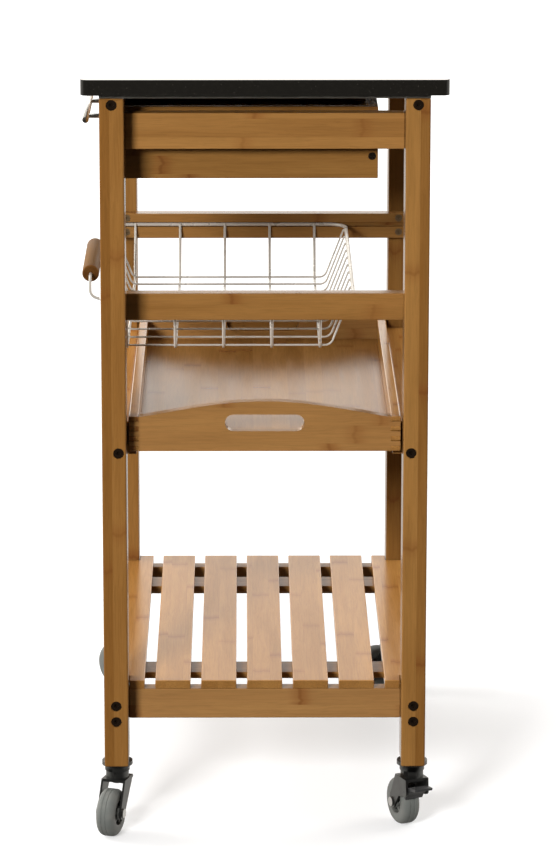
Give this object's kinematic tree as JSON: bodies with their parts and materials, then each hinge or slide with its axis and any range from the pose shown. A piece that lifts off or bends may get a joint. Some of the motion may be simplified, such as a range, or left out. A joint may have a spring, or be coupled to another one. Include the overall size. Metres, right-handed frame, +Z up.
{
  "type": "rolling utility cart",
  "caption": "Narrow bamboo kitchen cart on swivel castors, with a stone top, a drawer, a sliding wire basket, a lift-out tray and a slatted shelf.",
  "frame": {"origin": "on the floor, midway between the four legs", "axes": "+Z up; the drawer and the basket open towards -X and the tray slides out towards -Y"},
  "size_m": [0.378, 0.5901, 0.803],
  "materials": {
    "stone": "polished black granite",
    "edge_board": "grey-edged carrier board",
    "leg_bamboo": "laminated bamboo, satin lacquer",
    "rail_bamboo": "laminated bamboo, satin lacquer",
    "slat_bamboo": "laminated bamboo, satin lacquer",
    "drawer_bamboo": "laminated bamboo, satin lacquer",
    "tray_bamboo": "laminated bamboo, satin lacquer",
    "grip_wood": "turned wood, satin lacquer",
    "black_steel": "black oxide",
    "zinc": "zinc plated",
    "chrome": "bright chrome plate",
    "dark_steel": "dark zinc",
    "dark_plastic": "moulded",
    "grey_tyre": "smooth grey rubber",
    "grey_hub": "moulded"
  },
  "bodies": {
    "frame": {"stone_top": "stone", "top_board": "edge_board", "leg_front_right": "leg_bamboo", "leg_front_left": "leg_bamboo", "leg_back_right": "leg_bamboo", "leg_back_left": "leg_bamboo", "top_end_rail_right": "rail_bamboo", "top_end_rail_left": "rail_bamboo", "top_long_rails": "rail_bamboo", "drawer_runners": "rail_bamboo", "basket_rail_right": "rail_bamboo", "basket_rail_left": "rail_bamboo", "tray_rail_front": "rail_bamboo", "tray_rail_back": "rail_bamboo", "tray_ledges": "rail_bamboo", "tray_stop_rail": "rail_bamboo", "shelf_end_rail_right": "rail_bamboo", "shelf_end_rail_left": "rail_bamboo", "shelf_long_rail_front": "rail_bamboo", "shelf_long_rail_back": "rail_bamboo", "shelf_battens": "rail_bamboo", "shelf_slats": "slat_bamboo", "leg_bolts": "black_steel", "barrel_nuts": "zinc", "frame_screws": "zinc", "castor_stems": "dark_steel"},
    "drawer": {"drawer_front": "drawer_bamboo", "drawer_side_right": "drawer_bamboo", "drawer_side_left": "drawer_bamboo", "drawer_back": "drawer_bamboo", "drawer_bottom": "drawer_bamboo", "drawer_handle": "chrome", "drawer_screws": "black_steel"},
    "basket": {"basket_rim": "chrome", "basket_cross_wires": "chrome", "basket_long_wires": "chrome", "basket_grip_wires": "chrome", "basket_grip": "grip_wood"},
    "tray": {"tray_end_right": "tray_bamboo", "tray_end_left": "tray_bamboo", "tray_sides": "tray_bamboo", "tray_floor": "tray_bamboo"},
    "castor_front_right": {"castor_fork_front_right": "dark_steel", "castor_axle_front_right": "zinc"},
    "wheel_front_right": {"castor_tyre_front_right": "grey_tyre", "castor_hub_front_right": "grey_hub"},
    "castor_front_left": {"castor_fork_front_left": "dark_steel", "castor_axle_front_left": "zinc"},
    "wheel_front_left": {"castor_tyre_front_left": "grey_tyre", "castor_hub_front_left": "grey_hub"},
    "castor_back_right": {"castor_fork_back_right": "dark_steel", "castor_axle_back_right": "zinc"},
    "wheel_back_right": {"castor_tyre_back_right": "grey_tyre", "castor_hub_back_right": "grey_hub"},
    "brake_back_right": {"brake_lever_back_right": "dark_plastic"},
    "castor_back_left": {"castor_fork_back_left": "dark_steel", "castor_axle_back_left": "zinc"},
    "wheel_back_left": {"castor_tyre_back_left": "grey_tyre", "castor_hub_back_left": "grey_hub"},
    "brake_back_left": {"brake_lever_back_left": "dark_plastic"}
  },
  "joints": [
    {"name": "drawer_slide", "type": "slide", "parent": "frame", "child": "drawer", "axis": [-1, 0, 0], "range_m": [0, 0.2]},
    {"name": "basket_slide", "type": "slide", "parent": "frame", "child": "basket", "axis": [-1, 0, 0], "range_m": [0, 0.2]},
    {"name": "tray_slide", "type": "slide", "parent": "frame", "child": "tray", "axis": [0, -1, 0], "range_m": [0, 0.35]},
    {"name": "swivel_front_right", "type": "hinge", "parent": "frame", "child": "castor_front_right", "pos_m": [-0.1545, -0.25, 0.06], "axis": [0, 0, 1], "continuous": true},
    {"name": "spin_front_right", "type": "hinge", "parent": "castor_front_right", "child": "wheel_front_right", "pos_m": [-0.16099, -0.26997, 0.025], "axis": [0.9511, -0.309, 0], "continuous": true},
    {"name": "swivel_front_left", "type": "hinge", "parent": "frame", "child": "castor_front_left", "pos_m": [-0.1545, 0.25, 0.06], "axis": [0, 0, 1], "continuous": true},
    {"name": "spin_front_left", "type": "hinge", "parent": "castor_front_left", "child": "wheel_front_left", "pos_m": [-0.16935, 0.26485, 0.025], "axis": [-0.7071, -0.7071, 0], "continuous": true},
    {"name": "swivel_back_right", "type": "hinge", "parent": "frame", "child": "castor_back_right", "pos_m": [0.1545, -0.25, 0.06], "axis": [0, 0, 1], "continuous": true},
    {"name": "spin_back_right", "type": "hinge", "parent": "castor_back_right", "child": "wheel_back_right", "pos_m": [0.1463, -0.23067, 0.025], "axis": [-0.9205, -0.3907, 0], "continuous": true},
    {"name": "brake_press_back_right", "type": "hinge", "parent": "castor_back_right", "child": "brake_back_right", "pos_m": [0.15802, -0.25828, 0.044], "axis": [0.9205, 0.3907, 0], "range_deg": [0, 22]},
    {"name": "swivel_back_left", "type": "hinge", "parent": "frame", "child": "castor_back_left", "pos_m": [0.1545, 0.25, 0.06], "axis": [0, 0, 1], "continuous": true},
    {"name": "spin_back_left", "type": "hinge", "parent": "castor_back_left", "child": "wheel_back_left", "pos_m": [0.1335, 0.25, 0.025], "axis": [0, -1, 0], "continuous": true},
    {"name": "brake_press_back_left", "type": "hinge", "parent": "castor_back_left", "child": "brake_back_left", "pos_m": [0.1635, 0.25, 0.044], "axis": [0, 1, 0], "range_deg": [0, 22]}
  ]
}
